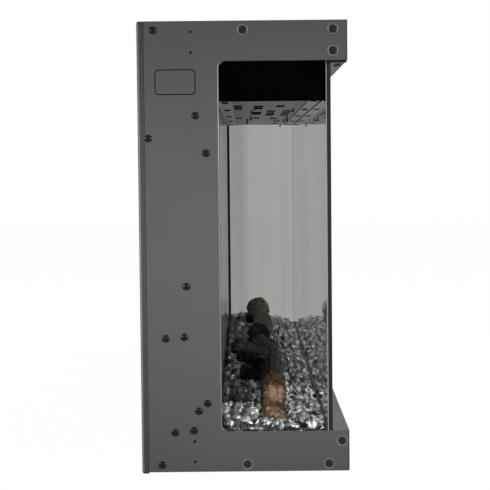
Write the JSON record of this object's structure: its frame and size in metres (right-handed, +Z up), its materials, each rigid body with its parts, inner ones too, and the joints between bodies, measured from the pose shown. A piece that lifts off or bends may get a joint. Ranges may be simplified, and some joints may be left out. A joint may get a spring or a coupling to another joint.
{
  "type": "three-sided electric fireplace",
  "caption": "Long built-in electric fireplace with glass on its front and both ends, over a bed of glass chunks and logs, in a dark grey sheet-metal casing.",
  "frame": {"origin": "middle of the underside", "axes": "+X along the length, towards the switch end; -Y out of the front glass; +Y out of the back; +Z up"},
  "size_m": [1.4, 0.301, 0.652],
  "materials": {
    "panel_paint": "satin dark grey powder coat",
    "black_paint": "matt black",
    "zinc_sheet": "plain zinc-coated sheet",
    "ceiling_plate": "satin light grey",
    "clear_pane": "clear toughened glass",
    "milky_screen": "milky half-mirrored acrylic",
    "glass_pieces": "clear and smoke glass chunks",
    "bark": "rough brown bark",
    "charred_wood": "charred black",
    "mirror_sheet": "polished reflecting strips",
    "black_plastic": "moulded black plastic",
    "board": "green circuit board",
    "mica": "mica and ceramic insulation"
  },
  "bodies": {
    "casing": {"air_deflector": "zinc_sheet", "back_cover": "panel_paint", "base_pan": "panel_paint", "bearing_bracket": "zinc_sheet", "button_board": "board", "button_plate": "black_plastic", "ceiling_panel": "ceiling_plate", "ceiling_strip_front": "ceiling_plate", "ceiling_strip_rear": "ceiling_plate", "charred_lump": "charred_wood", "control_board": "board", "cord_gland": "black_plastic", "crystal_bed": "glass_pieces", "downlight_board": "board", "ember_lamp_board": "board", "ember_tray": "milky_screen", "fan_motor": "zinc_sheet", "flame_baffle": "black_paint", "flame_lamp_board": "board", "flame_screen": "milky_screen", "floor_rail_front": "zinc_sheet", "floor_rail_rear": "zinc_sheet", "front_bottom_trim": "panel_paint", "front_glass": "clear_pane", "front_top_trim": "panel_paint", "glass_rail_bottom": "black_paint", "glass_rail_top": "black_paint", "heater_housing": "zinc_sheet", "heating_element": "mica", "junction_box": "zinc_sheet", "log_bark_left": "bark", "log_cross_left": "charred_wood", "log_cross_right": "charred_wood", "log_knot": "bark", "log_middle": "charred_wood", "log_prop_left": "charred_wood", "log_round_right": "charred_wood", "motor_bracket": "zinc_sheet", "pane_ledge_left": "zinc_sheet", "pane_ledge_right": "zinc_sheet", "pane_retainer_left": "zinc_sheet", "pane_retainer_right": "zinc_sheet", "power_supply": "zinc_sheet", "receiver_window": "black_plastic", "rocker_frame": "black_plastic", "side_glass_left": "clear_pane", "side_glass_right": "clear_pane", "side_panel_left": "panel_paint", "side_panel_right": "panel_paint", "spindle_bush": "black_plastic", "spindle_motor": "zinc_sheet", "terminal_block": "mica", "top_pan": "panel_paint"},
    "spindle": {"flame_spindle": "mirror_sheet", "spindle_coupler": "black_plastic"},
    "fan": {"fan_wheel": "black_plastic"},
    "power_key": {"button_power": "black_plastic"},
    "flame_key": {"button_flame": "black_plastic"},
    "heat_key": {"button_heat": "black_plastic"},
    "rocker": {"rocker_key": "black_plastic"}
  },
  "joints": [
    {"name": "spindle_spin", "type": "hinge", "parent": "casing", "child": "spindle", "pos_m": [0, 0.095, 0.078], "axis": [1, 0, 0], "continuous": true},
    {"name": "fan_spin", "type": "hinge", "parent": "casing", "child": "fan", "pos_m": [0, -0.02156, 0.59365], "axis": [1, 0, 0], "continuous": true},
    {"name": "power_press", "type": "slide", "parent": "casing", "child": "power_key", "axis": [0, 0, 1], "range_m": [0, 0.0012], "stiffness_N_per_m": 400, "springref_m": -0.0005},
    {"name": "flame_press", "type": "slide", "parent": "casing", "child": "flame_key", "axis": [0, 0, 1], "range_m": [0, 0.0012], "stiffness_N_per_m": 400, "springref_m": -0.0005},
    {"name": "heat_press", "type": "slide", "parent": "casing", "child": "heat_key", "axis": [0, 0, 1], "range_m": [0, 0.0012], "stiffness_N_per_m": 400, "springref_m": -0.0005},
    {"name": "rocker_tilt", "type": "hinge", "parent": "casing", "child": "rocker", "pos_m": [0.5, -0.1394, 0.6015], "axis": [0, 1, 0], "range_deg": [-8, 8]}
  ]
}
